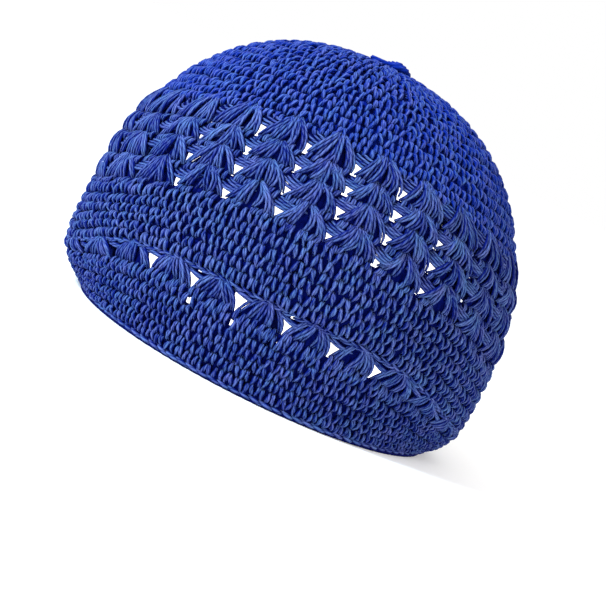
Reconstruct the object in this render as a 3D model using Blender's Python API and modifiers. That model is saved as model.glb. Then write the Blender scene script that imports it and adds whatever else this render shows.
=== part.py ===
"""Crocheted prayer cap, worked in rounds from the top of the crown down to the hem.

Metres, +Z up. The hem lies on z = 0 and the cap is centred on the origin, with its long
side facing -Y. The cloth is one smooth oval dome. A place on it is named by how far round
it lies, as an angle from the middle of the long side towards +X, and by its stage: 0 at the
crown's centre, 1 at the first lace round, 2 at the last, 3 at the fold above the brim and
4 at the brim's lower edge.
"""

from collections import namedtuple

import bmesh
import bpy
import numpy as np

# Outer sizes of the whole cap
HALF_WIDTH = 0.1075
HALF_DEPTH = 0.0850
CROWN_HEIGHT = 0.1605

# The dome leans a little over its hem, towards -X, about a level near its widest round
LEAN = 0.040
LEAN_LEVEL = 0.056
ROUND_TILT = 0.022        # how far its rounds sink with it on that side, above the fold

# The crocheted cloth and the clearance at each seam, measured at the middle of its wall
WALL = 0.0030
SEAM_GAP = 0.0008

# The edging round that the cap stands on, a six-sided cord
EDGING_HEIGHT = 0.0034
EDGING_WIDTH = 0.0040
EDGING_SIDES = 6

# The knot on the crown's centre
BUTTON_RADIUS = 0.0088
BUTTON_HEIGHT = 0.0042
BUTTON_BASE = 0.94        # radius of its underside, as a share of its widest
BUTTON_WAIST = 0.15       # height of its widest round, as a share of its height
BUTTON_GAP = 0.0003
BUTTON_STEPS = 16

# The lace repeats round the cap; each repeat has one gap in every lace row
REPEATS = 24
COLUMNS_PER_REPEAT = 3
LACE_ROWS = 4
FIRST_GAP = 0.320         # share of a repeat from the long side's middle to a gap's first edge
GAP_HEEL = 0.30           # how far a gap's lower corners draw in, as a share of one column
GAP_HEAD = 0.28           # where a lace gap starts and ends, as shares of its row
GAP_FOOT = 0.74
FAN_END = 0.34            # share of the brim that its lace row takes up
FAN_GAP_HEAD = 0.40       # where a brim gap starts and ends, as shares of the brim's lace row
FAN_GAP_FOOT = 0.84

# Rounds of the mesh between the named ones, as stages
CROWN_ROUNDS = (0.0, 0.12, 0.25, 0.38, 0.51, 0.64, 0.76, 0.88)
SIDE_ROUNDS = (2.35, 2.70, 2.88)
BRIM_ROUNDS = (3.56, 3.78)

STAGE_STEP = 0.004        # small steps along and round the cloth, for its directions
ANGLE_STEP = 0.01
WELD = 0.00001            # points nearer than this are one

# Blues of the yarn, a little deeper towards the hem, and its dull surface
CROWN_BLUE = (0.035, 0.085, 0.42)
LACE_BLUE = (0.032, 0.075, 0.36)
SIDE_BLUE = (0.028, 0.068, 0.32)
BRIM_BLUE = (0.026, 0.062, 0.30)
EDGING_BLUE = (0.024, 0.058, 0.28)
YARN_ROUGHNESS = 0.85
CREASE_ANGLE = 40.0       # edges sharper than this, in degrees, stay crisp

# Cross-sections of the cloth, from the crown's centre to the hem. The shares of half the
# depth and of the height hold at the middle of the long sides, and those of half the width
# and of the height at the narrow ends. A higher hold keeps the long side's height further
# round before it sinks to the narrow end's.
Section = namedtuple("Section", "stage depth long_up width end_up hold")
SECTIONS = {
    "crown centre": Section(0.00, 0.000, 1.000, 0.000, 1.000, 2.0),
    "crown cap": Section(0.25, 0.320, 0.986, 0.290, 0.980, 2.0),
    "crown slope": Section(0.50, 0.595, 0.942, 0.548, 0.905, 2.0),
    "crown shoulder": Section(0.75, 0.795, 0.863, 0.755, 0.778, 2.0),
    "lace top": Section(1.00, 0.915, 0.755, 0.893, 0.622, 2.2),
    "lace middle": Section(1.50, 0.985, 0.618, 0.978, 0.455, 2.4),
    "lace foot": Section(2.00, 1.000, 0.478, 1.000, 0.292, 2.6),
    "band": Section(2.50, 0.996, 0.370, 0.992, 0.184, 3.2),
    "fold": Section(2.90, 0.992, 0.287, 0.968, 0.110, 4.0),
    "under the fold": Section(3.10, 0.962, 0.244, 0.952, 0.080, 4.0),
    "brim": Section(3.50, 0.955, 0.132, 0.914, 0.036, 4.0),
    "hem": Section(4.00, 0.938, 0.000, 0.862, 0.000, 4.0),
}

# Soft dents and swells of the cloth: the angle and stage of each middle, its reach round the
# cap in degrees and down it in stages, and its depth as a share of half the width
Fold = namedtuple("Fold", "angle stage reach_round reach_down depth")
FOLDS = {
    "left tuck above the hem": Fold(-66.0, 3.20, 9.0, 0.45, -0.014),
    "left corner swell": Fold(-88.0, 3.20, 18.0, 0.55, 0.050),
    "right crease above the hem": Fold(64.0, 3.20, 8.0, 0.45, -0.016),
    "right corner swell": Fold(84.0, 3.40, 14.0, 0.55, 0.028),
    "rear slump": Fold(168.0, 1.60, 26.0, 0.60, -0.018),
    "rear right tuck": Fold(118.0, 3.20, 10.0, 0.45, -0.014),
    "rear left crease": Fold(-116.0, 3.20, 9.0, 0.45, -0.015),
}

COLUMNS = REPEATS * COLUMNS_PER_REPEAT


def section_shares(stage):
    """Smooth cubic through the section table; past the centre the profile is mirrored."""
    table = np.array(list(SECTIONS.values()))
    flip = Section(stage=-1.0, depth=-1.0, long_up=1.0, width=-1.0, end_up=1.0, hold=1.0)
    mirror = table[1] * np.array(flip)
    table = np.vstack([mirror, table])
    knots = table[:, 0]
    values = table[:, 1:]
    slopes = np.gradient(values, knots, axis=0)
    stage = np.asarray(stage, dtype=float)
    left = np.clip(np.searchsorted(knots, stage, side="right") - 1, 0, len(knots) - 2)
    span = knots[left + 1] - knots[left]
    t = ((stage - knots[left]) / span)[..., None]
    span = span[..., None]
    rise = values[left + 1] - values[left]
    start = slopes[left] * span
    end = slopes[left + 1] * span
    return values[left] + t * start + t**2 * (3 * rise - 2 * start - end) + t**3 * (start + end - 2 * rise)


def fold_depth(angle, stage):
    """Sum of round bell curves, one for each dent or swell, in metres outwards."""
    total = np.zeros(np.broadcast(angle, stage).shape)
    for fold in FOLDS.values():
        turn = np.angle(np.exp(1j * (angle - np.radians(fold.angle))))
        across = turn / np.radians(fold.reach_round)
        down = (stage - fold.stage) / fold.reach_down
        total = total + fold.depth * HALF_WIDTH * np.exp(-0.5 * (across**2 + down**2))
    return total


def cloth_point(angle, stage):
    """Middle of the cloth's wall: an oval whose half axes and height follow the section shares.

    Outwards x = half width * sin(angle) and y = -half depth * cos(angle), less half the wall;
    the height moves from the long side's to the narrow end's with |sin(angle)| ** hold.
    All of it leans with its height, and above the fold its rounds tilt to that side.
    """
    angle, stage = np.broadcast_arrays(np.asarray(angle, float), np.asarray(stage, float))
    depth, long_up, width, end_up, hold = np.moveaxis(section_shares(stage), -1, 0)
    to_end = np.abs(np.sin(angle)) ** hold
    swell = fold_depth(angle, stage)
    x = ((HALF_WIDTH - WALL / 2) * width + swell) * np.sin(angle)
    y = -((HALF_DEPTH - WALL / 2) * depth + swell) * np.cos(angle)
    foot = EDGING_HEIGHT + SEAM_GAP
    z = foot + (CROWN_HEIGHT - WALL / 2 - foot) * (long_up * (1 - to_end) + end_up * to_end)
    above_fold = np.clip(3.0 - stage, 0.0, 1.0)
    tilt = ROUND_TILT * above_fold**2 * (3 - 2 * above_fold)
    return np.stack([x - LEAN * (z - LEAN_LEVEL), y, z + tilt * x], axis=-1)


def cloth_down(angle, stage):
    """Unit direction along the cloth towards the hem."""
    down = cloth_point(angle, stage + STAGE_STEP) - cloth_point(angle, stage - STAGE_STEP)
    return down / np.linalg.norm(down, axis=-1, keepdims=True)


def angle_round(share):
    """Angle at a share of the way round the widest oval, measured along its length."""
    turn = np.linspace(0.0, 2 * np.pi, 721)
    pace = np.hypot(HALF_WIDTH * np.cos(turn), HALF_DEPTH * np.sin(turn))
    length = np.concatenate([[0.0], np.cumsum((pace[1:] + pace[:-1]) / 2)])
    whole = np.floor(share)
    return np.interp(share - whole, length / length[-1], turn) + 2 * np.pi * whole


def column_shares(drawn_in):
    """Shares round the cap of every column line, with the gaps' edges drawn in or not."""
    line = np.arange(COLUMNS + 1)
    place = line / COLUMNS_PER_REPEAT
    edge = line % COLUMNS_PER_REPEAT
    inwards = np.where(edge == 0, 1.0, np.where(edge == 1, -1.0, 0.0))
    place = place + drawn_in * inwards / COLUMNS_PER_REPEAT
    return (place + FIRST_GAP - 0.5 / COLUMNS_PER_REPEAT) / REPEATS


def finish_object(name, mesh, collection, colour):
    """Puts a mesh in the cap's collection under its own plain material."""
    part = bpy.data.objects.new(name, mesh)
    collection.objects.link(part)
    material = bpy.data.materials.new(name + "_yarn")
    material.use_nodes = True
    shader = material.node_tree.nodes["Principled BSDF"]
    shader.inputs["Base Color"].default_value = (*colour, 1.0)
    shader.inputs["Roughness"].default_value = YARN_ROUGHNESS
    shader.inputs["Metallic"].default_value = 0.0
    mesh.materials.append(material)
    mesh.shade_smooth()
    mesh.set_sharp_from_angle(angle=np.radians(CREASE_ANGLE))
    return part


def cloth_band(name, rounds, gap_rows, collection, colour):
    """A stretch of the cloth: a grid laid over the dome, opened at the gaps, then thickened.

    rounds lists each row of points as (stage, shift along the cloth towards the hem in
    metres, drawn in), and gap_rows the rows of faces in which every repeat's first column
    is left open.
    """
    grid = bmesh.new()
    rows = len(rounds) - 1
    bmesh.ops.create_grid(grid, x_segments=COLUMNS, y_segments=rows, size=0.5)
    table = []
    for stage, shift, drawn_in in rounds:
        angle = angle_round(column_shares(drawn_in))
        table.append(cloth_point(angle, stage) + shift * cloth_down(angle, stage))
    for vertex in grid.verts:
        column = round((vertex.co.x + 0.5) * COLUMNS)
        row = round((0.5 - vertex.co.y) * rows)
        vertex.index = row * (COLUMNS + 1) + column
    open_faces = []
    for face in grid.faces:
        places = [divmod(vertex.index, COLUMNS + 1) for vertex in face.verts]
        row = min(place[0] for place in places)
        column = min(place[1] for place in places)
        if row in gap_rows and column % COLUMNS_PER_REPEAT == 0:
            open_faces.append(face)
    for vertex in grid.verts:
        row, column = divmod(vertex.index, COLUMNS + 1)
        vertex.co = table[row][column]
    bmesh.ops.delete(grid, geom=open_faces, context="FACES_ONLY")
    loose = [edge for edge in grid.edges if not edge.link_faces]
    bmesh.ops.delete(grid, geom=loose, context="EDGES")
    bmesh.ops.remove_doubles(grid, verts=grid.verts, dist=WELD)
    bmesh.ops.recalc_face_normals(grid, faces=grid.faces)
    mesh = bpy.data.meshes.new(name)
    grid.to_mesh(mesh)
    grid.free()
    part = finish_object(name, mesh, collection, colour)
    wall = part.modifiers.new("cloth wall", "SOLIDIFY")
    wall.thickness = WALL
    wall.offset = 0.0
    return part


def make_crown(collection):
    """The plain disc and shoulder, down to the first lace round."""
    rounds = [(stage, 0.0, 0.0) for stage in CROWN_ROUNDS] + [(1.0, -SEAM_GAP / 2, 0.0)]
    cloth_band("crown", rounds, [], collection, CROWN_BLUE)


def make_lace_band(collection):
    """Rows of shells, open between each shell and the next."""
    rounds = [(1.0, SEAM_GAP / 2, 0.0)]
    for row in range(LACE_ROWS):
        rounds.append((1.0 + (row + GAP_HEAD) / LACE_ROWS, 0.0, 0.0))
        rounds.append((1.0 + (row + GAP_FOOT) / LACE_ROWS, 0.0, GAP_HEEL))
    rounds.append((2.0, -SEAM_GAP / 2, 0.0))
    gap_rows = [1 + 2 * row for row in range(LACE_ROWS)]
    cloth_band("lace_band", rounds, gap_rows, collection, LACE_BLUE)


def make_side_band(collection):
    """Plain rounds from the lace to the fold above the brim."""
    rounds = [(2.0, SEAM_GAP / 2, 0.0)] + [(stage, 0.0, 0.0) for stage in SIDE_ROUNDS]
    rounds.append((3.0, -SEAM_GAP / 2, 0.0))
    cloth_band("side_band", rounds, [], collection, SIDE_BLUE)


def make_brim_lace(collection):
    """One row of open fans just under the fold."""
    rounds = [
        (3.0, SEAM_GAP / 2, 0.0),
        (3.0 + FAN_END * FAN_GAP_HEAD, 0.0, 0.0),
        (3.0 + FAN_END * FAN_GAP_FOOT, 0.0, GAP_HEEL),
        (3.0 + FAN_END, -SEAM_GAP / 2, 0.0),
    ]
    cloth_band("brim_lace", rounds, [1], collection, BRIM_BLUE)


def make_brim_band(collection):
    """Plain rounds of the brim, trimmed where they tuck under so that the edging fits below."""
    down = cloth_down(angle_round(column_shares(0.0)), 4.0)
    trim = WALL / 2 * np.hypot(down[:, 0], down[:, 1]) / down[:, 2]
    rounds = [(3.0 + FAN_END, SEAM_GAP / 2, 0.0)] + [(stage, 0.0, 0.0) for stage in BRIM_ROUNDS]
    rounds.append((4.0, trim[:, None], 0.0))
    cloth_band("brim_band", rounds, [], collection, BRIM_BLUE)


def make_hem_edging(collection):
    """The last round: a six-sided cord under the brim, with a flat underside to stand on.

    A torus primitive whose ring follows the brim's lower edge. Its section's half width is
    cos(turn) of the edging's, and its height runs from 0 to the edging's with sin(turn).
    """
    bpy.ops.mesh.primitive_torus_add(major_segments=COLUMNS, minor_segments=EDGING_SIDES, minor_radius=0.2)
    ring = bpy.context.object
    mesh = ring.data
    places = np.empty(len(mesh.vertices) * 3)
    mesh.vertices.foreach_get("co", places)
    places = places.reshape(-1, 3)
    reach = np.hypot(places[:, 0], places[:, 1])
    major = np.arctan2(places[:, 1], places[:, 0])
    minor = np.arctan2(places[:, 2], reach - 1.0)
    angle = angle_round((major / (2 * np.pi)) % 1.0 + column_shares(0.0)[0])
    edge = cloth_point(angle, 4.0)[:, :2]
    ahead = cloth_point(angle + ANGLE_STEP, 4.0)[:, :2] - cloth_point(angle - ANGLE_STEP, 4.0)[:, :2]
    outwards = np.stack([ahead[:, 1], -ahead[:, 0]], axis=-1)
    outwards /= np.linalg.norm(outwards, axis=-1, keepdims=True)
    side = EDGING_WIDTH / 2 * np.cos(minor)
    level = EDGING_HEIGHT / 2 * (1 + np.sin(minor) / np.sin(2 * np.pi / EDGING_SIDES))
    flat = edge + outwards * side[:, None]
    mesh.vertices.foreach_set("co", np.column_stack([flat, level]).ravel())
    bpy.data.objects.remove(ring)
    finish_object("hem_edging", mesh, collection, EDGING_BLUE)


def make_top_button(collection):
    """A low knot on the crown's centre: a quarter-oval profile turned about its own axis."""
    turn = np.linspace(np.pi / 2, 0.0, 6)
    waist = BUTTON_WAIST * BUTTON_HEIGHT
    profile = [(BUTTON_RADIUS * np.cos(t), 0.0, waist + (BUTTON_HEIGHT - waist) * np.sin(t)) for t in turn]
    profile += [(BUTTON_BASE * BUTTON_RADIUS, 0.0, 0.0), (0.0, 0.0, 0.0)]
    mesh = bpy.data.meshes.new("top_button")
    mesh.from_pydata(profile, [(i, i + 1) for i in range(len(profile) - 1)], [])
    part = finish_object("top_button", mesh, collection, CROWN_BLUE)
    turned = part.modifiers.new("turned", "SCREW")
    turned.steps = BUTTON_STEPS
    turned.render_steps = BUTTON_STEPS
    turned.use_merge_vertices = True
    turned.merge_threshold = WELD
    upwards = np.array([-np.sin(ROUND_TILT), 0.0, np.cos(ROUND_TILT)])
    part.location = cloth_point(0.0, 0.0) + (WALL / 2 + BUTTON_GAP) * upwards
    part.rotation_euler = (0.0, -ROUND_TILT, 0.0)


def main():
    for leftover in list(bpy.data.objects):
        bpy.data.objects.remove(leftover)
    collection = bpy.data.collections.new("crocheted_prayer_cap")
    bpy.context.scene.collection.children.link(collection)
    make_crown(collection)
    make_lace_band(collection)
    make_side_band(collection)
    make_brim_lace(collection)
    make_brim_band(collection)
    make_hem_edging(collection)
    make_top_button(collection)


main()
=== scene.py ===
"""Visual model of the crocheted prayer cap.

The cap is drawn as it is made: strands of plied yarn laid in stitches over the same dome as
the solids. A place on the cloth is named by its share of the way round, counted from the
middle of the long side that faces the camera, and by its stage: 0 at the crown's centre, 1 where
the lace starts, 2 where it ends, 3 at the fold above the brim and 4 at the hem.
"""

from collections import namedtuple

import bpy
import numpy as np
from mathutils import Matrix, Vector


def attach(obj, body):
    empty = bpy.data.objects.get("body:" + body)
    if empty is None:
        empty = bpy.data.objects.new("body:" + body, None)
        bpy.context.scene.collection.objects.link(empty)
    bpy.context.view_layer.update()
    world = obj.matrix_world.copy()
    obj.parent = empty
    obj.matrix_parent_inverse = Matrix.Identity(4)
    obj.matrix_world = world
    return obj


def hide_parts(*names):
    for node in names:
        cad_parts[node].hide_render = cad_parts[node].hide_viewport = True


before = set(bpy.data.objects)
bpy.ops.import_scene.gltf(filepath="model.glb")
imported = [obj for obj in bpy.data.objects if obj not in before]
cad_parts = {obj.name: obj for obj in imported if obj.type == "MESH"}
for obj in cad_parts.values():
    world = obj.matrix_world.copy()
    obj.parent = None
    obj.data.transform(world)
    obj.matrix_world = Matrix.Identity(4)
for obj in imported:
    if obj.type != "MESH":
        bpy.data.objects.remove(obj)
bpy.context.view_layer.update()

SEED = 24

# Outer sizes of the whole cap, and its lean towards -X
HALF_WIDTH = 0.1075
HALF_DEPTH = 0.0850
CROWN_HEIGHT = 0.1605
LEAN = 0.040              # how far a point shifts towards -X for each metre above LEAN_LEVEL
LEAN_LEVEL = 0.056
ROUND_TILT = 0.022        # how far the rounds above the fold sink for each metre towards -X

# The cloth, its edging and its stitches
WALL = 0.0030
FOOT = 0.0042             # height of the brim's lower edge
REPEATS = 24              # lace repeats round the cap
FIRST_GAP = 0.320         # share of a repeat from the long side's middle to a gap's middle
LACE_ROWS = 4
FAN_END = 0.34            # share of the brim that its lace row takes up
STITCHES = 4 * REPEATS    # single-crochet stitches round the cap, below the crown
CROWN_ROUNDS = 18
SIDE_ROUNDS = 6
BRIM_ROUNDS = 6
BRIM_END = 4.04           # stage that the last plain round reaches, over the edging
SHIFT = -0.16             # how far each round's stitches shift past those above, in stitches
SIDE_START = 1.975        # stage where the plain rounds start, over the last shells' feet

# Radii of the strands
CROWN_STRAND = 0.00082
SIDE_STRAND = 0.00085
BRIM_STRAND = 0.00080
POST_STRAND = 0.00084
FOOT_STRAND = 0.00074
ARCH_STRAND = 0.00080
HEM_STRAND = 0.00100
BUN_STRAND = 0.0015
LOOP_STRAND = 0.0014

SIDES = 6                 # corners of a strand's cross-section
STAGE_STEP = 0.004        # small steps down and round the cloth, for its directions
ANGLE_STEP = 0.004
CENTRE_STAGE = 0.012      # nearest stage to the crown's centre that has a direction round it
OUTER_LIFT = -0.0003      # where the two faces of the cloth under the strands lie
INNER_LIFT = -0.0014

# Cross-sections of the cloth from the crown's centre to the hem: depth and long_up hold at the
# middle of the long sides, width and end_up at the narrow ends, as shares of the outer sizes
Section = namedtuple("Section", "stage depth long_up width end_up hold")
SECTIONS = {
    "crown centre": Section(0.00, 0.000, 1.000, 0.000, 1.000, 2.0),
    "crown cap": Section(0.25, 0.320, 0.986, 0.290, 0.980, 2.0),
    "crown slope": Section(0.50, 0.595, 0.942, 0.548, 0.905, 2.0),
    "crown shoulder": Section(0.75, 0.795, 0.863, 0.755, 0.778, 2.0),
    "lace top": Section(1.00, 0.915, 0.755, 0.893, 0.622, 2.2),
    "lace middle": Section(1.50, 0.985, 0.618, 0.978, 0.455, 2.4),
    "lace foot": Section(2.00, 1.000, 0.478, 1.000, 0.292, 2.6),
    "band": Section(2.50, 0.996, 0.370, 0.992, 0.184, 3.2),
    "fold": Section(2.90, 0.992, 0.287, 0.968, 0.110, 4.0),
    "under the fold": Section(3.10, 0.962, 0.244, 0.952, 0.080, 4.0),
    "brim": Section(3.50, 0.955, 0.132, 0.914, 0.036, 4.0),
    "hem": Section(4.00, 0.938, 0.000, 0.862, 0.000, 4.0),
}

# Soft dents and swells of the cloth, as angle and stage of the middle, reach round the cap in
# degrees and down it in stages, and depth as a share of half the width
Fold = namedtuple("Fold", "angle stage reach_round reach_down depth")
FOLDS = {
    "left tuck above the hem": Fold(-66.0, 3.20, 9.0, 0.45, -0.014),
    "left corner swell": Fold(-88.0, 3.20, 18.0, 0.55, 0.050),
    "right crease above the hem": Fold(64.0, 3.20, 8.0, 0.45, -0.016),
    "right corner swell": Fold(84.0, 3.40, 14.0, 0.55, 0.028),
    "rear slump": Fold(168.0, 1.60, 26.0, 0.60, -0.018),
    "rear right tuck": Fold(118.0, 3.20, 10.0, 0.45, -0.014),
    "rear left crease": Fold(-116.0, 3.20, 9.0, 0.45, -0.015),
}

# Rows of points across a repeat, from gap middle to gap middle, as shares of the repeat: where
# the gap's edges and the two lines inside it lie, and how much the row sinks to the right
HoleRow = namedtuple("HoleRow", "down sink left inner_left inner_right right")
LACE_HOLE = (
    HoleRow(0.00, 0.00, -0.150, -0.050, 0.050, 0.160),
    HoleRow(0.27, 0.25, -0.150, -0.050, 0.060, 0.170),
    HoleRow(0.76, -0.10, -0.105, -0.070, -0.035, 0.005),
)
BRIM_HOLE = (
    HoleRow(0.10, 0.10, -0.150, -0.010, 0.080, 0.170),
    HoleRow(0.26, 0.10, -0.150, -0.010, 0.080, 0.170),
    HoleRow(0.34, 0.42, -0.165, -0.060, 0.070, 0.190),
    HoleRow(0.86, -0.05, -0.130, -0.080, -0.030, 0.020),
)
PLAIN_ROW = HoleRow(0.00, 0.00, -0.150, -0.050, 0.050, 0.160)
SHELL_LINES = (0.34, 0.50, 0.66)  # lines of points between one gap and the next

# How a shell's posts run, in shares of a repeat across and of a row down: where the apex lies,
# how far down the posts reach, and how they lean, spread and bend
Fan = namedtuple("Fan", "across down length lean spread bend unbend")
FIRST_FAN = Fan(-0.06, -0.36, 1.08, 0.26, 0.60, -0.25, -0.20)
LACE_FAN = Fan(-0.06, -0.50, 1.22, 0.21, 0.41, -0.17, -0.05)
BRIM_FAN = Fan(0.00, -0.18, 1.04, 0.05, 0.60, -0.085, -0.195)
LACE_FOOT = (-0.42, -0.31, -0.20, 0.10, 0.22, 0.34)  # where loops lie over the posts' feet
BRIM_FOOT = (-0.44, -0.32, -0.20, -0.07, 0.07, 0.20, 0.33)

# Small holes under and over some of the brim's gaps: their repeats, and the stages of the lower
# ones as shares of the brim's lace row
LOWER_HOLE_REPEATS = (-2, -1, 0, 9)
UPPER_HOLE_REPEATS = (-2, 0, 8)
LOWER_HOLE = (1.10, 1.30)
HOLE_RIM = 0.0021         # strands are pushed this far out from a lower hole's middle
HOLE_REACH = 0.0036       # strands farther off than this stay where they are
BRIM_STAGES = (3.56, 3.67, 3.78, 3.89, 4.0)  # rows of points in the brim's ground below them

# The flat cord under the hem: steps round the cap, corners, stage, and its half height, half
# width and inset
HEM_STEPS = 168
HEM_CORNERS = 8
HEM_STAGE = 4.03
HEM_RISE = 0.0024
HEM_REACH = 0.0007
HEM_INSET = 0.0004

# The knot: where its bun and its loop lie beside the crown's centre, and how far they reach
BUN_MIDDLE = 0.0050
BUN_REACH = 0.0058
BUN_TURNS = 3
LOOP_MIDDLE = -0.0030
LOOP_REACH = 0.0052
LOOP_DEPTH = 0.0018

# Blues of a yarn's grooves and of its crests, and of the cloth under the strands outside and in.
# A yarn's dark blue is painted shade on the strands' sides and in their ply grooves, and its light
# blue is a painted highlight on their outward tops; fibres and random tone mix the two as well.
# The cloth's dark blue is painted shade between the strands and between the stitches' backs inside.
# The crown's painted shade is a lighter blue than the other bands'.
CROWN_BLUES = ((0.0006, 0.014, 0.200), (0.074, 0.118, 0.36))
LACE_BLUES = ((0.0001, 0.005, 0.115), (0.096, 0.150, 0.37))
SIDE_BLUES = ((0.0001, 0.006, 0.125), (0.102, 0.158, 0.38))
BRIM_BLUES = ((0.0001, 0.006, 0.125), (0.094, 0.146, 0.38))
UNDER_BLUES = ((0.0001, 0.0025, 0.080), (0.020, 0.045, 0.24))
CROWN_UNDER_BLUES = ((0.0003, 0.006, 0.130), (0.020, 0.045, 0.24))
REDDER = (1.14, 0.94, 1.01)   # the crests' blue drifts between these two
GREENER = (0.84, 1.06, 0.98)


def section_shares(stage):
    """Smooth cubic through the section table; past the centre the profile is mirrored."""
    table = np.array(list(SECTIONS.values()))
    flip = Section(stage=-1.0, depth=-1.0, long_up=1.0, width=-1.0, end_up=1.0, hold=1.0)
    table = np.vstack([table[1] * np.array(flip), table])
    knots, values = table[:, 0], table[:, 1:]
    slopes = np.gradient(values, knots, axis=0)
    left = np.clip(np.searchsorted(knots, stage, side="right") - 1, 0, len(knots) - 2)
    span = knots[left + 1] - knots[left]
    t = ((stage - knots[left]) / span)[..., None]
    span = span[..., None]
    rise = values[left + 1] - values[left]
    start = slopes[left] * span
    end = slopes[left + 1] * span
    curved = t**2 * (3 * rise - 2 * start - end) + t**3 * (start + end - 2 * rise)
    return values[left] + t * start + curved


def fold_depth(angle, stage):
    """Sum of round bell curves, one for each dent or swell, in metres outwards."""
    total = np.zeros(angle.shape)
    for fold in FOLDS.values():
        turn = np.angle(np.exp(1j * (angle - np.radians(fold.angle))))
        across = turn / np.radians(fold.reach_round)
        down = (stage - fold.stage) / fold.reach_down
        total += fold.depth * HALF_WIDTH * np.exp(-0.5 * (across**2 + down**2))
    return total


def cloth_point(angle, stage):
    """Middle of the cloth's wall: x = half width * sin(angle), y = -half depth * cos(angle), and
    a height that moves from the long side's to the narrow end's with |sin(angle)| ** hold."""
    depth, long_up, width, end_up, hold = np.moveaxis(section_shares(stage), -1, 0)
    to_end = np.abs(np.sin(angle)) ** hold
    swell = fold_depth(angle, stage)
    x = ((HALF_WIDTH - WALL / 2) * width + swell) * np.sin(angle)
    y = -((HALF_DEPTH - WALL / 2) * depth + swell) * np.cos(angle)
    z = FOOT + (CROWN_HEIGHT - WALL / 2 - FOOT) * (long_up * (1 - to_end) + end_up * to_end)
    above_fold = np.clip(3.0 - stage, 0.0, 1.0)
    tilt = ROUND_TILT * above_fold**2 * (3 - 2 * above_fold)
    return np.stack([x - LEAN * (z - LEAN_LEVEL), y, z + tilt * x], axis=-1)


def angle_round(share):
    """Angle at a share of the way round the widest oval, measured along its length."""
    turn = np.linspace(0.0, 2 * np.pi, 721)
    pace = np.hypot(HALF_WIDTH * np.cos(turn), HALF_DEPTH * np.sin(turn))
    length = np.concatenate([[0.0], np.cumsum((pace[1:] + pace[:-1]) / 2)])
    whole = np.floor(share)
    return np.interp(share - whole, length / length[-1], turn) + 2 * np.pi * whole


def unit(vectors):
    return vectors / np.linalg.norm(vectors, axis=-1, keepdims=True)


def lay(share, stage, lift):
    """Points on the cloth lifted outwards by so many metres, with the outward directions."""
    share, stage, lift = np.broadcast_arrays(share, stage, lift)
    angle = angle_round(share)
    stage = np.maximum(stage, CENTRE_STAGE)
    along = cloth_point(angle + ANGLE_STEP, stage) - cloth_point(angle - ANGLE_STEP, stage)
    down = cloth_point(angle, stage + STAGE_STEP) - cloth_point(angle, stage - STAGE_STEP)
    out = unit(np.cross(unit(down), unit(along)))
    return cloth_point(angle, stage) + lift[..., None] * out, out


def put_mesh(name, points, quads, others, uvs, attributes):
    """One smooth mesh from whole arrays: four-cornered faces, then faces of SIDES corners."""
    mesh = bpy.data.meshes.new(name)
    mesh.vertices.add(len(points))
    mesh.vertices.foreach_set("co", points.ravel())
    corners = np.concatenate([quads.ravel(), others.ravel()]).astype(np.int32)
    mesh.loops.add(len(corners))
    mesh.loops.foreach_set("vertex_index", corners)
    quad_starts = np.arange(len(quads)) * 4
    other_starts = quads.size + np.arange(len(others)) * SIDES
    starts = np.concatenate([quad_starts, other_starts])
    mesh.polygons.add(len(starts))
    mesh.polygons.foreach_set("loop_start", starts.astype(np.int32))
    mesh.update(calc_edges=True)
    layer = mesh.uv_layers.new(name="yarn")
    layer.data.foreach_set("uv", uvs.astype(np.float32).ravel())
    for label, values in attributes.items():
        held = mesh.attributes.new(label, "FLOAT", "POINT")
        held.data.foreach_set("value", values.astype(np.float32).ravel())
    mesh.shade_smooth()
    piece = bpy.data.objects.new(name, mesh)
    bpy.context.collection.objects.link(piece)
    return piece


def declare(piece, material, slot, *nodes):
    """The piece's material, and which solids of the part it stands for."""
    piece.data.materials.append(material)
    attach(piece, "root")
    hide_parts(*nodes)


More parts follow.
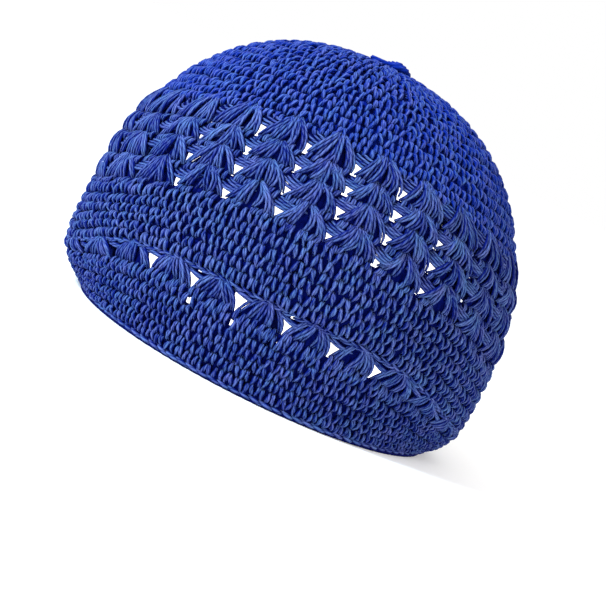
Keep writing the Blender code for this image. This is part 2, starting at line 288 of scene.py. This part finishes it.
class Yarn:
    """Strands gathered as whole arrays and made into one mesh of closed round tubes.

    With t the strand's direction and n the cloth's outward one, corner m of a ring lies at
    centre + thick * (cos(m) * side + sin(m) * top), where side = t x n and top = side x t.
    """

    def __init__(self, rng):
        self.rng = rng
        self.points = []
        self.quads = []
        self.ends = []
        self.quad_uvs = []
        self.end_uvs = []
        self.tones = []
        self.count = 0

    def vary(self, cells, reach):
        """One number a cell, spread evenly over the reach about nought."""
        return reach * (self.rng.random((len(cells.left), 1)) - 0.5)

    def add(self, centres, out, thick, tone=0.5, spread=0.5):
        """centres and out are (strands, steps, 3); thick is in metres, at each step."""
        strands, steps = centres.shape[:2]
        thick = np.broadcast_to(thick, (strands, steps))
        along = unit(np.gradient(centres, axis=1))
        side = unit(np.cross(along, out))
        top = np.cross(side, along)
        turn = 2 * np.pi * np.arange(SIDES) / SIDES
        ring = np.cos(turn)[:, None] * side[:, :, None] + np.sin(turn)[:, None] * top[:, :, None]
        points = centres[:, :, None] + thick[:, :, None, None] * ring
        index = np.arange(strands * steps * SIDES).reshape(strands, steps, SIDES) + self.count
        ahead = np.roll(index, -1, axis=2)
        quads = np.stack([index[:, :-1], index[:, 1:], ahead[:, 1:], ahead[:, :-1]], axis=-1)
        gone = np.linalg.norm(np.diff(centres, axis=1), axis=-1)
        start = self.rng.random((strands, 1))
        length = np.concatenate([start, start + np.cumsum(gone, axis=1) * 100], axis=1)
        u = np.broadcast_to(length[:, :, None], (strands, steps, SIDES))
        v = np.broadcast_to(np.arange(SIDES) / SIDES, (strands, steps, SIDES))
        u = np.stack([u[:, :-1], u[:, 1:], u[:, 1:], u[:, :-1]], axis=-1)
        v = v[:, :-1]
        v = np.stack([v, v, v + 1 / SIDES, v + 1 / SIDES], axis=-1)
        ends = np.stack([index[:, 0], index[:, -1, ::-1]], axis=1)
        self.points.append(points.reshape(-1, 3))
        self.quads.append(quads.reshape(-1, 4))
        self.ends.append(ends.reshape(-1, SIDES))
        self.quad_uvs.append(np.stack([u, v], axis=-1).reshape(-1, 2))
        self.end_uvs.append(np.zeros((ends.size, 2)))
        tones = np.clip(tone + spread * (self.rng.random((strands, 1, 1)) - 0.5), 0.0, 1.0)
        self.tones.append(np.broadcast_to(tones, index.shape).ravel())
        self.count += index.size

    def piece(self, name, material, slot, *nodes):
        uvs = np.concatenate(self.quad_uvs + self.end_uvs)
        tones = {"tone": np.concatenate(self.tones)}
        made = put_mesh(name, np.concatenate(self.points), np.concatenate(self.quads),
                        np.concatenate(self.ends), uvs, tones)
        declare(made, material, slot, *nodes)


# Stitches
Cells = namedtuple("Cells", "left width top height")


def round_cells(count, top, height, offset):
    """One round of stitches: left edges and widths in shares, top and height in stages."""
    left = (np.arange(count) + offset) / count
    return Cells(left, np.full(count, 1 / count), np.full(count, top), np.full(count, height))


def uneven_cells(rng, count, top, height, offset):
    """One round as a hand works it: widths vary, and the round rises and falls in slow waves."""
    widths = 1 + 0.30 * (rng.random(count) - 0.5)
    widths = widths / widths.sum()
    left = np.cumsum(widths) - widths + offset / count
    waves = 0.10 * np.sin(2 * np.pi * (rng.integers(4, 10) * left + rng.random()))
    return Cells(left, widths, top + height * waves, np.full(count, height))


def shell_cells(top, height):
    return round_cells(REPEATS, top, height, FIRST_GAP + 0.5)


def gap_cells(top, height):
    return round_cells(REPEATS, top, height, FIRST_GAP)


def joined(rounds):
    return Cells(*(np.concatenate(column) for column in zip(*rounds)))


def in_cells(cells, across, down, lift):
    """Centre lines of one strand a cell; across and down are shares of the cell, lift metres."""
    share = cells.left[:, None] + cells.width[:, None] * across
    stage = cells.top[:, None] + cells.height[:, None] * down
    return lay(share, stage, lift)


def single_crochet(yarn, cells, thick, tone, loose=1.0, holes=()):
    """Two lobes a stitch that part towards the hem, each of two strands that cross as cos(pi t).

    A strand runs with t down its stitch, moves aside as t ** 1.2 and bulges outwards between its
    tucked ends as sin(pi t). Loose work varies more from stitch to stitch. Around a hole's
    middle, what lies within HOLE_REACH is pushed outwards, to HOLE_RIM and beyond.
    """
    t = np.linspace(0.0, 1.0, 6)
    bulge = np.sin(np.pi * np.clip(0.06 + 0.88 * t, 0, 1))
    for side in (-1, 1):
        aside, lower = yarn.vary(cells, 0.12 * loose), yarn.vary(cells, 0.28 * loose)
        turned, crossing = yarn.vary(cells, 0.30 * loose), yarn.vary(cells, 0.7)
        for strand in (-1, 1):
            across = 0.5 + aside + side * (0.15 + 0.15 * t**0.8) + turned * (t - 0.5)
            across = across + strand * 0.075 * np.cos(np.pi * (1.05 * t + crossing))
            down = -0.12 + lower + (1.06 - 0.08 * side * strand) * t
            lift = -0.0010 + 0.0025 * bulge**0.8 + yarn.vary(cells, 0.0005)
            centres, out = in_cells(cells, across, down, lift)
            radius = thick * (0.60 + 0.40 * bulge) * (1 + yarn.vary(cells, 0.20))
            for hole in holes:
                away = centres - hole
                gone = np.linalg.norm(away, axis=-1, keepdims=True)
                pushed = np.maximum(gone, HOLE_RIM + (1 - HOLE_RIM / HOLE_REACH) * gone)
                centres = hole + away * np.where(gone < HOLE_REACH, pushed / gone, 1.0)
            yarn.add(centres, out, radius, tone, 0.7)


def shell_posts(yarn, top, height, fan, raised, tone):
    """Six double posts a shell, all from its apex. With d the rows gone down, a post at place p,
    from -1 on the left to 1, lies at (lean + spread p) d + (bend + unbend p) d ** 2 across."""
    cells = shell_cells(top, height)
    t = np.linspace(0.0, 1.0, 7)
    bulge = np.sin(np.pi * np.clip(0.01 + 0.93 * t, 0, 1)) ** 0.7
    for place in np.linspace(-1.0, 1.0, 6):
        loose = 0.15 if abs(place) == 1.0 else 1.0   # the outer posts leave the gaps clear
        gone = t * (fan.length + yarn.vary(cells, 0.16))
        lean, bent = yarn.vary(cells, 0.13 * loose), yarn.vary(cells, 0.16 * loose)
        slope = fan.lean + fan.spread * place + lean
        across = slope * gone + (fan.bend + fan.unbend * place) * gone**2
        across = fan.across + 0.03 * place + across + bent * np.sin(np.pi * t)
        lifted = raised + yarn.vary(cells, 0.0014)
        for strand in (-1, 1):
            lift = -0.0016 + 0.0031 * bulge + lifted + yarn.vary(cells, 0.0007)
            apart = 0.024 + yarn.vary(cells, 0.008)
            beside = strand * (0.006 + apart * bulge + 0.010 * t)
            centres, out = in_cells(cells, across + beside, fan.down + gone, lift)
            radius = POST_STRAND * (0.55 + 0.45 * bulge) * (1 + yarn.vary(cells, 0.3))
            yarn.add(centres, out, radius, tone, 0.9)


def shell_foot(yarn, top, height, places, highest, tone):
    """Short double loops over the posts' feet, at these places across the shell."""
    cells = shell_cells(top, height)
    t = np.linspace(0.0, 1.0, 5)
    bulge = np.sin(np.pi * np.clip(0.06 + 0.88 * t, 0, 1))
    for place in places:
        aside, lower, turned = yarn.vary(cells, 0.05), yarn.vary(cells, 0.14), yarn.vary(cells, 0.10)
        for strand in (-1, 1):
            beside = strand * (0.010 + 0.012 * bulge)
            across = place + aside + turned * (t - 0.5) - 0.05 * t + beside
            down = highest - 0.10 * abs(place) + lower + 0.40 * t
            lift = -0.0008 + 0.0022 * bulge + yarn.vary(cells, 0.0005)
            centres, out = in_cells(cells, across, down, lift)
            yarn.add(centres, out, FOOT_STRAND * (0.60 + 0.40 * bulge), tone, 0.8)


def gap_arch(yarn, top, height, hole, tone, lines=2, sag=0.08):
    """Strands over each gap, side by side along its sinking upper edge, some sagging into it."""
    cells = gap_cells(top, height)
    t = np.linspace(0.0, 1.0, 7)
    bulge = np.sin(np.pi * np.clip(0.06 + 0.88 * t, 0, 1))
    step = 0.11 / (LACE_ROWS * height)
    sag = sag + yarn.vary(cells, 0.20)
    for line in range(lines):
        slant = yarn.vary(cells, 0.12)
        across = -0.25 + 0.06 * line + 0.55 * t
        edge = hole.down + hole.sink * across - step * (0.45 + line)
        down = edge + slant * (t - 0.5) + sag * np.sin(np.pi * t)
        lift = -0.0006 + 0.0018 * bulge + yarn.vary(cells, 0.0005)
        centres, out = in_cells(cells, across, down, lift)
        yarn.add(centres, out, ARCH_STRAND * (0.7 + 0.3 * bulge), tone, 0.7)


def links(yarn, count, stage, rise, lift, thick, length, tone, offset=0.0):
    """Links laid end over end along a round: each runs for its length in link widths and sinks
    by rise in stages from end to end, with its ends tucked under its neighbours."""
    cells = round_cells(count, 0.0, 1.0, offset)
    t = np.linspace(0.0, 1.0, 6)
    bulge = np.sin(np.pi * np.clip(0.08 + 0.84 * t, 0, 1))
    reach = length + yarn.vary(cells, 0.5)
    across = 0.5 + reach * (t - 0.5)
    down = stage + (rise + yarn.vary(cells, 0.8 * rise)) * (t - 0.5)
    raised = lift * (1.6 * bulge - 0.6) + yarn.vary(cells, 0.0005)
    centres, out = in_cells(cells, across, down, raised)
    yarn.add(centres, out, thick * (0.6 + 0.4 * bulge), tone, 0.7)


# The cloth under the strands
def plain_rows(stages):
    return [(stage, 0.0, PLAIN_ROW) for stage in stages]


def ground(name, rows, open_rows, material, slot, *nodes):
    """A thin double sheet under the strands: the outer face and the inner one are grids over the
    dome, and a rim closes them wherever a face has no neighbour.

    rows lists (stage of the row's top, stage height, HoleRow), and open_rows says which rows of
    faces are left out, between which of the seven lines of a repeat and in which repeats.
    """
    table = []
    for top, height, hole in rows:
        edges = (hole.left, hole.inner_left, hole.inner_right, hole.right)
        lines = np.array(edges + SHELL_LINES)
        sinking = hole.sink * np.array(edges + (0.0,) * len(SHELL_LINES))
        share = (np.arange(REPEATS)[:, None] + FIRST_GAP + lines) / REPEATS
        stage = np.broadcast_to(top + height * (hole.down + sinking), share.shape)
        table.append((share.ravel(), stage.ravel()))
    share = np.array([row[0] for row in table])
    stage = np.array([row[1] for row in table])
    lines = 4 + len(SHELL_LINES)
    count = REPEATS * lines
    present = np.ones((len(rows) - 1, REPEATS, lines), bool)
    for row, first, last, repeats in open_rows:
        for repeat in repeats:
            present[row, repeat, first:last] = False
    present = present.reshape(len(rows) - 1, count)
    outer, _ = lay(share, stage, np.full(share.shape, OUTER_LIFT))
    inner, _ = lay(share, stage, np.full(share.shape, INNER_LIFT))
    points = np.concatenate([outer.reshape(-1, 3), inner.reshape(-1, 3)])
    front = np.arange(share.size).reshape(share.shape)
    back = front + share.size
    ahead = np.roll(front, -1, axis=1)
    behind = np.roll(back, -1, axis=1)
    faces = [
        np.stack([front[:-1], front[1:], ahead[1:], ahead[:-1]], axis=-1)[present],
        np.stack([back[:-1], behind[:-1], behind[1:], back[1:]], axis=-1)[present],
    ]
    padded = np.pad(present, ((1, 1), (0, 0)))
    edge = padded[1:] & ~padded[:-1]
    faces.append(np.stack([front, ahead, behind, back], axis=-1)[edge])
    edge = padded[:-1] & ~padded[1:]
    faces.append(np.stack([front, back, behind, ahead], axis=-1)[edge])
    before = np.roll(present, 1, axis=1)
    edge = present & ~before
    faces.append(np.stack([front[:-1], back[:-1], back[1:], front[1:]], axis=-1)[edge])
    edge = before & ~present
    faces.append(np.stack([front[:-1], front[1:], back[1:], back[:-1]], axis=-1)[edge])
    quads = np.concatenate(faces)
    used, quads = np.unique(quads, return_inverse=True)
    quads = quads.reshape(-1, 4)
    share, stage = np.tile(share.ravel(), 2)[used], np.tile(stage.ravel(), 2)[used]
    uvs = np.stack([share * STITCHES, stage * SIDE_ROUNDS], axis=-1)
    # tone marks the inner face; the outer face keeps the dark blue, painted shade between the strands
    inside = (used >= len(front.ravel())).astype(float)
    no_ends = np.empty((0, SIDES), int)
    piece = put_mesh(name, points[used], quads, no_ends, uvs[quads.ravel()], {"tone": inside})
    declare(piece, material, slot, *nodes)


# Materials
class Value:
    """A number passing through a shader; each operator adds the Math node it names."""

    def __init__(self, paint, socket):
        self.paint = paint
        self.socket = socket

    def math(self, operation, *others):
        return self.paint.math(operation, self, *others)

    def within_one(self):
        return self.math("MAXIMUM", 0.0).math("MINIMUM", 1.0)

    def __add__(self, other):
        return self.math("ADD", other)

    def __sub__(self, other):
        return self.math("SUBTRACT", other)

    def __mul__(self, other):
        return self.math("MULTIPLY", other)

    def __pow__(self, other):
        return self.math("POWER", other)

    def __rsub__(self, other):
        return self.paint.math("SUBTRACT", other, self)

    __radd__ = __add__
    __rmul__ = __mul__


class Paint:
    """One material's node tree."""

    def __init__(self, name, **constants):
        self.material = bpy.data.materials.new(name)
        self.material.use_nodes = True
        self.tree = self.material.node_tree
        self.shader = self.tree.nodes["Principled BSDF"]
        for label, value in constants.items():
            self.shader.inputs[label.replace("_", " ")].default_value = value

    def node(self, kind, settings=(), **inputs):
        """Adds a node; inputs are values or other nodes' outputs, by name, or n0, n1 by number."""
        made = self.tree.nodes.new("ShaderNode" + kind)
        for label, value in dict(settings).items():
            setattr(made, label, value)
        for label, value in inputs.items():
            key = int(label[1:]) if label[0] == "n" and label[1:].isdigit() else label.replace("_", " ")
            self.feed(made.inputs[key], value)
        return made

    def feed(self, socket, value):
        if isinstance(value, Value):
            value = value.socket
        if isinstance(value, bpy.types.NodeSocket):
            self.tree.links.new(value, socket)
        else:
            socket.default_value = value

    def math(self, operation, *values):
        inputs = {"n%d" % place: value for place, value in enumerate(values)}
        return Value(self, self.node("Math", {"operation": operation}, **inputs).outputs[0])

    def blend(self, share, *ends):
        """Mixes two colours, each a triple or another node's output."""
        first, second = ((*end, 1.0) if isinstance(end, tuple) else end for end in ends)
        made = self.node("Mix", {"data_type": "RGBA"}, n0=share, n6=first, n7=second)
        return made.outputs[2]

    def own_places(self):
        """The two coordinates of the piece's own UV map."""
        uv = self.node("UVMap", {"uv_map": "yarn"}).outputs[0]
        parts = self.node("SeparateXYZ", Vector=uv)
        return Value(self, parts.outputs[0]), Value(self, parts.outputs[1])

    def raise_by(self, height, strength, distance):
        bump = self.node("Bump", Strength=strength, Distance=distance, Height=height)
        self.feed(self.shader.inputs["Normal"], bump.outputs[0])

    def attribute(self, name):
        return Value(self, self.node("Attribute", {"attribute_name": name}).outputs["Fac"])

    def noise(self, scale, vector, detail=2.0):
        return Value(self, self.node("TexNoise", Scale=scale, Detail=detail, Vector=vector).outputs[0])


def yarn_paint(name, dark, light, plies=3, twist=2.6):
    """Plied yarn: its UVs hold the length along the strand in centimetres and the turn round it.

    The plies are ridges at plies * turn - twist * length; fine fibres are a noise stretched
    along them. Painted shade darkens the grooves between the plies and each strand's sides,
    and a painted highlight lightens its outward top; fibres and random tone vary it as well.
    """
    paint = Paint(name, Roughness=0.62, Specular_IOR_Level=0.04, Sheen_Weight=0.01,
                  Sheen_Roughness=0.4)
    length, turn = paint.own_places()
    phase = turn * plies - length * twist
    # ply ridges: a bump, and in the colour a painted shade in the grooves between the plies
    ridge = (phase * np.pi).math("SINE").math("ABSOLUTE") ** 0.6
    tone = paint.attribute("tone")
    where = paint.node("CombineXYZ", X=length * 1.5, Y=phase * 3.0, Z=tone * 9.0)
    fibre = paint.noise(2.2, where.outputs[0])
    # painted highlight on each strand's outward top, falling to painted shade on its sides and
    # underside
    painted_lit_top = ((turn * (2 * np.pi)).math("SINE") * 0.5 + 0.5) ** 4
    share = painted_lit_top * 0.85 + ridge * 0.45 + fibre * 0.85 + tone * 0.65 - 1.38
    drift = paint.noise(140.0, paint.node("TexCoord").outputs["Object"], 2.0)
    redder, greener = tuple(np.multiply(light, REDDER)), tuple(np.multiply(light, GREENER))
    light = paint.blend(((drift - 0.5) * 3.0 + 0.5).within_one(), redder, greener)
    paint.feed(paint.shader.inputs["Base Color"], paint.blend(share.within_one(), dark, light))
    paint.raise_by(ridge * 0.7 + fibre * 0.5, 1.0, 0.0007)
    return paint.material


def ground_paint(name, dark, light):
    """Cloth under the strands: dark between them, a painted shade, and inside the cap the backs of
    the stitches as rounded lumps, |sin(pi u)| * |sin(pi v)| of the stitch's own coordinates,
    lighter at their middles with painted shade between them."""
    paint = Paint(name, Roughness=0.9, Specular_IOR_Level=0.05)
    across, down = paint.own_places()
    # the lumps: a bump, and in the colour painted shade between them
    lump = (across * (2 * np.pi)).math("SINE").math("ABSOLUTE")
    lump = lump * (down * np.pi).math("SINE").math("ABSOLUTE")
    mottle = paint.noise(900.0, paint.node("TexCoord").outputs["Object"], 3.0)
    inside = paint.attribute("tone")
    # outside the cap the colour stays the dark blue, painted shade between the strands
    share = (inside * (lump * 0.7 + mottle * 0.5)).math("MINIMUM", 1.0)
    paint.feed(paint.shader.inputs["Base Color"], paint.blend(share, dark, light))
    paint.raise_by(lump + mottle * 0.3, 0.9, 0.0016)
    return paint.material


# The cap
def make_grounds(under):
    """The cloth under the strands, band by band, with the gaps left open."""
    every = range(REPEATS)
    # the crown's cloth has its own, lighter painted shade between the strands
    crown_under = ground_paint("cloth between crown strands", *CROWN_UNDER_BLUES)
    rows = plain_rows(np.linspace(CENTRE_STAGE, 1.0, 26))
    ground("crown_ground", rows, [], crown_under, "crown_yarn", "crown")

    rows = []
    for row in range(LACE_ROWS):
        rows += [(1.0 + row / LACE_ROWS, 1 / LACE_ROWS, hole) for hole in LACE_HOLE]
    rows += plain_rows([2.0])
    open_rows = [(1 + len(LACE_HOLE) * row, 0, 3, every) for row in range(LACE_ROWS)]
    ground("lace_ground", rows, open_rows, under, "lace_band_yarn", "lace_band")

    rows = plain_rows(np.linspace(2.0, 3.0, 9))
    ground("side_ground", rows, [], under, "side_band_yarn", "side_band")

    rows = plain_rows([3.0])
    rows += [(3.0, FAN_END, hole) for hole in BRIM_HOLE]
    rows += plain_rows([3.0 + FAN_END])
    open_rows = [(1, 1, 2, UPPER_HOLE_REPEATS), (3, 0, 3, every)]
    ground("brim_lace_ground", rows, open_rows, under, "brim_lace_yarn", "brim_lace")

    rows = plain_rows([3.0 + FAN_END * share for share in (1.0, *LOWER_HOLE)])
    rows += plain_rows(BRIM_STAGES)
    open_rows = [(1, 1, 2, LOWER_HOLE_REPEATS)]
    ground("brim_ground", rows, open_rows, under, "brim_band_yarn", "brim_band")


def make_crown(material, rng):
    """Rounds that grow by the same number of stitches each, in two pieces of about equal size."""
    rounds = []
    step = 1 / (CROWN_ROUNDS + 0.5)
    for number in range(1, CROWN_ROUNDS + 1):
        count = round(number * STITCHES / CROWN_ROUNDS)
        rounds.append(uneven_cells(rng, count, (number - 0.5) * step, step, SHIFT * number))
    inner_rounds = CROWN_ROUNDS * 2 // 3
    inner = Yarn(rng)
    single_crochet(inner, joined(rounds[:inner_rounds]), CROWN_STRAND, 0.54, 1.5)
    inner.piece("crown_yarn_inner", material, "crown_yarn", "crown")
    outer = Yarn(rng)
    single_crochet(outer, joined(rounds[inner_rounds:]), CROWN_STRAND, 0.54, 1.3)
    outer.piece("crown_yarn_outer", material, "crown_yarn", "crown")


def make_lace(rng):
    lace = Yarn(rng)
    height = 1 / LACE_ROWS
    for row in range(LACE_ROWS):
        top = 1.0 + row / LACE_ROWS
        shell_foot(lace, top, height, LACE_FOOT, 0.66, 0.40)
        gap_arch(lace, top, height, LACE_HOLE[1], 0.44, 4)
        fan, raised = (FIRST_FAN, 0.0005) if row == 0 else (LACE_FAN, 0.0002)
        shell_posts(lace, top, height, fan, raised, 0.43)
    material = yarn_paint("lace yarn", *LACE_BLUES)
    lace.piece("lace_yarn", material, "lace_band_yarn", "lace_band")


def plain_work(rng, start, end, count):
    """Cells of so many full rounds between two stages."""
    height = (end - start) / count
    return joined([uneven_cells(rng, STITCHES, start + row * height, height, SHIFT * row)
                   for row in range(count)])


def make_side(rng):
    side = Yarn(rng)
    single_crochet(side, plain_work(rng, SIDE_START, 3.0, SIDE_ROUNDS), SIDE_STRAND, 0.47)
    side.piece("side_yarn", yarn_paint("side yarn", *SIDE_BLUES), "side_band_yarn", "side_band")


def make_brim(material, rng):
    """The open fans under the fold, the plain rounds with their few small holes, and the hem."""
    fans = Yarn(rng)
    shell_foot(fans, 3.0, FAN_END, BRIM_FOOT, 0.78, 0.45)
    gap_arch(fans, 3.0, FAN_END, BRIM_HOLE[2], 0.48, 2, 0.0)
    shell_posts(fans, 3.0, FAN_END, BRIM_FAN, 0.0, 0.50)
    links(fans, STITCHES, 2.995, 0.045, 0.0012, BRIM_STRAND, 1.25, 0.50)
    links(fans, STITCHES, 3.025, -0.045, 0.0010, BRIM_STRAND, 1.25, 0.50, 0.5)
    fans.piece("brim_fan_yarn", material, "brim_lace_yarn", "brim_lace")

    brim = Yarn(rng)
    gaps = (np.array(LOWER_HOLE_REPEATS) + FIRST_GAP) / REPEATS
    holes, _ = lay(gaps, 3.0 + FAN_END * sum(LOWER_HOLE) / 2, np.array(0.0))
    cells = plain_work(rng, 3.0 + FAN_END, BRIM_END, BRIM_ROUNDS)
    single_crochet(brim, cells, BRIM_STRAND, 0.43, holes=holes)
    brim.piece("brim_yarn", material, "brim_band_yarn", "brim_band")

    edging = Yarn(rng)
    links(edging, STITCHES, 4.055, 0.035, 0.0010, HEM_STRAND, 1.30, 0.58)
    edging.piece("hem_yarn", material, "hem_edging_yarn", "hem_edging")


def make_hem_ground(material):
    """A flat cord under the hem, closed on itself: its section is an oval that touches z = 0.
    It carries no tone attribute, so it is the dark blue all round: painted shade along the foot of the
    hem.
    """
    share = np.linspace(0.0, 1.0, HEM_STEPS, endpoint=False)
    middle, out = lay(share, np.full(share.shape, HEM_STAGE), np.zeros(share.shape))
    out[:, 2] = 0.0
    out = unit(out)
    turn = 2 * np.pi * np.arange(HEM_CORNERS) / HEM_CORNERS
    reach = HEM_REACH * np.cos(turn) - HEM_INSET
    points = middle[:, None] * np.array([1.0, 1.0, 0.0]) + out[:, None] * reach[:, None]
    points[..., 2] = HEM_RISE * (1 + np.sin(turn))
    index = np.arange(HEM_STEPS * HEM_CORNERS).reshape(-1, HEM_CORNERS)
    ahead = np.roll(index, -1, axis=0)
    quads = [index, ahead, np.roll(ahead, -1, axis=1), np.roll(index, -1, axis=1)]
    quads = np.stack(quads, axis=-1).reshape(-1, 4)
    no_ends = np.empty((0, SIDES), int)
    uvs = np.zeros((quads.size, 2))
    piece = put_mesh("hem_ground", points.reshape(-1, 3), quads, no_ends, uvs, {})
    declare(piece, material, "hem_edging_yarn", "hem_edging")


def make_button(material, rng):
    """The knot on top: a strand wound three times round into a low bun, and a small loop that
    comes out of its side. The bun's radius shrinks and its height grows along the winding."""
    knot = Yarn(rng)
    top = np.array([-LEAN * (CROWN_HEIGHT - LEAN_LEVEL), 0.0, CROWN_HEIGHT])
    ups = np.array([0.0, 0.0, 1.0])
    t = np.linspace(0.0, 1.0, 46)
    turn = 2 * np.pi * BUN_TURNS * t
    reach = BUN_REACH * (1 - t) ** 0.8
    rise = 0.0006 + 0.0026 * t**0.6
    bun = np.stack([BUN_MIDDLE + reach * np.cos(turn), 0.86 * reach * np.sin(turn), rise], axis=-1)
    knot.add((top + bun)[None], np.broadcast_to(ups, (1, *bun.shape)), BUN_STRAND)
    t = np.linspace(0.0, 1.0, 20)
    turn = np.pi * (0.15 + 1.70 * t)
    rise = 0.0010 + 0.0003 * np.cos(turn)
    loop = [LOOP_MIDDLE + LOOP_REACH * np.cos(turn), LOOP_DEPTH * np.sin(turn), rise]
    loop = np.stack(loop, axis=-1)
    knot.add((top + loop)[None], np.broadcast_to(ups, (1, *loop.shape)), LOOP_STRAND)
    knot.piece("top_knot", material, "top_button_yarn", "top_button")


def make_cap():
    rng = np.random.default_rng(SEED)
    under = ground_paint("cloth between strands", *UNDER_BLUES)
    crown_yarn = yarn_paint("crown yarn", *CROWN_BLUES)
    make_grounds(under)
    make_crown(crown_yarn, rng)
    make_lace(rng)
    make_side(rng)
    make_brim(yarn_paint("brim yarn", *BRIM_BLUES), rng)
    make_hem_ground(under)
    make_button(crown_yarn, rng)


def make_stage():
    mesh = bpy.data.meshes.new("floor")
    far = 4.0
    corners = [(-far, -far, 0.0), (far, -far, 0.0), (far, far, 0.0), (-far, far, 0.0)]
    mesh.from_pydata(corners, [], [(0, 1, 2, 3)])
    floor = bpy.data.objects.new("floor", mesh)
    bpy.context.collection.objects.link(floor)
    white = Paint("white floor", Base_Color=(0.92, 0.92, 0.92, 1.0), Roughness=0.9,
                  Emission_Color=(1.0, 1.0, 1.0, 1.0), Emission_Strength=0.12)
    mesh.materials.append(white.material)
    world = bpy.data.worlds.new("white surroundings")
    bpy.context.scene.world = world
    world.use_nodes = True
    sky = world.node_tree.nodes["Background"]
    sky.inputs["Color"].default_value = (1.0, 1.0, 1.0, 1.0)
    sky.inputs["Strength"].default_value = 1.0


def add_light(name, place, target, size, power, colour=(1.0, 1.0, 1.0), height=None):
    data = bpy.data.lights.new(name, "AREA")
    data.shape = "RECTANGLE"
    data.size = size
    data.size_y = height or size
    data.energy = power
    data.color = colour
    lamp = bpy.data.objects.new(name, data)
    bpy.context.collection.objects.link(lamp)
    lamp.location = place
    lamp.rotation_mode = "QUATERNION"
    lamp.rotation_quaternion = (Vector(target) - Vector(place)).to_track_quat("-Z", "Y")
    return lamp


# The two lamps outside, as name, place, size, watts and colour; both point at CAP_MIDDLE
CAP_MIDDLE = (0.0, 0.0, 0.08)
LAMPS = (
    ("key from upper left", (-0.9, -0.6, 0.9), 0.30, 34.0, (0.66, 0.84, 1.0)),
    ("softer right", (1.0, -0.5, 0.6), 0.5, 5.0, (1.0, 0.94, 0.82)),
)
# White lamps inside the cap that show through its gaps: left, right, low and high edges
PANEL_PLACE = -0.045      # how far towards the camera they stand
PANEL_WATTS = 7.0         # for each square metre
PANELS = (
    ("white behind the brim's gaps", -0.071, 0.064, 0.020, 0.050),
    ("white behind the lower gaps", -0.076, 0.068, 0.050, 0.084),
    ("white behind the upper gaps", -0.073, 0.062, 0.084, 0.105),
    ("white behind the first gaps", -0.053, 0.038, 0.105, 0.124),
)


def make_lights():
    for name, place, size, power, colour in LAMPS:
        add_light(name, place, CAP_MIDDLE, size, power, colour)
    for name, left, right, low, high in PANELS:
        middle = ((left + right) / 2, PANEL_PLACE, (low + high) / 2)
        ahead = (middle[0], -1.0, middle[2])
        width, height = right - left, high - low
        behind = add_light(name, middle, ahead, width, PANEL_WATTS * width * height, height=height)
        behind.visible_camera = True


# Where the camera stands and what it looks at
EYE = (0.0, -0.900, 0.168)
AIM = (0.0108, 0.0, 0.0400)
ROLL = 26.8               # degrees about its line of sight
SENSOR = 36.0             # millimetres
FOCUS = 1862.0            # focal length in pixels of the photo, which is PHOTO_WIDTH across
PHOTO_WIDTH = 606.0


def make_camera():
    """Looks from just above the cap's top, turned so that the cap leans to the right."""
    eye = Vector(EYE)
    ahead = (Vector(AIM) - eye).normalized()
    right = ahead.cross(Vector((0.0, 0.0, 1.0))).normalized()
    up = right.cross(ahead)
    roll = np.radians(ROLL)
    turned_right = np.cos(roll) * right + np.sin(roll) * up
    turned_up = np.cos(roll) * up - np.sin(roll) * right
    data = bpy.data.cameras.new("camera")
    data.sensor_width = SENSOR
    data.lens = SENSOR * FOCUS / PHOTO_WIDTH
    camera = bpy.data.objects.new("camera", data)
    bpy.context.collection.objects.link(camera)
    axes = Matrix((turned_right, turned_up, -ahead)).transposed()
    camera.matrix_world = Matrix.Translation(eye) @ axes.to_4x4()
    bpy.context.scene.camera = camera


make_cap()
make_stage()
make_lights()
make_camera()
bpy.context.scene.view_settings.view_transform = "Standard"
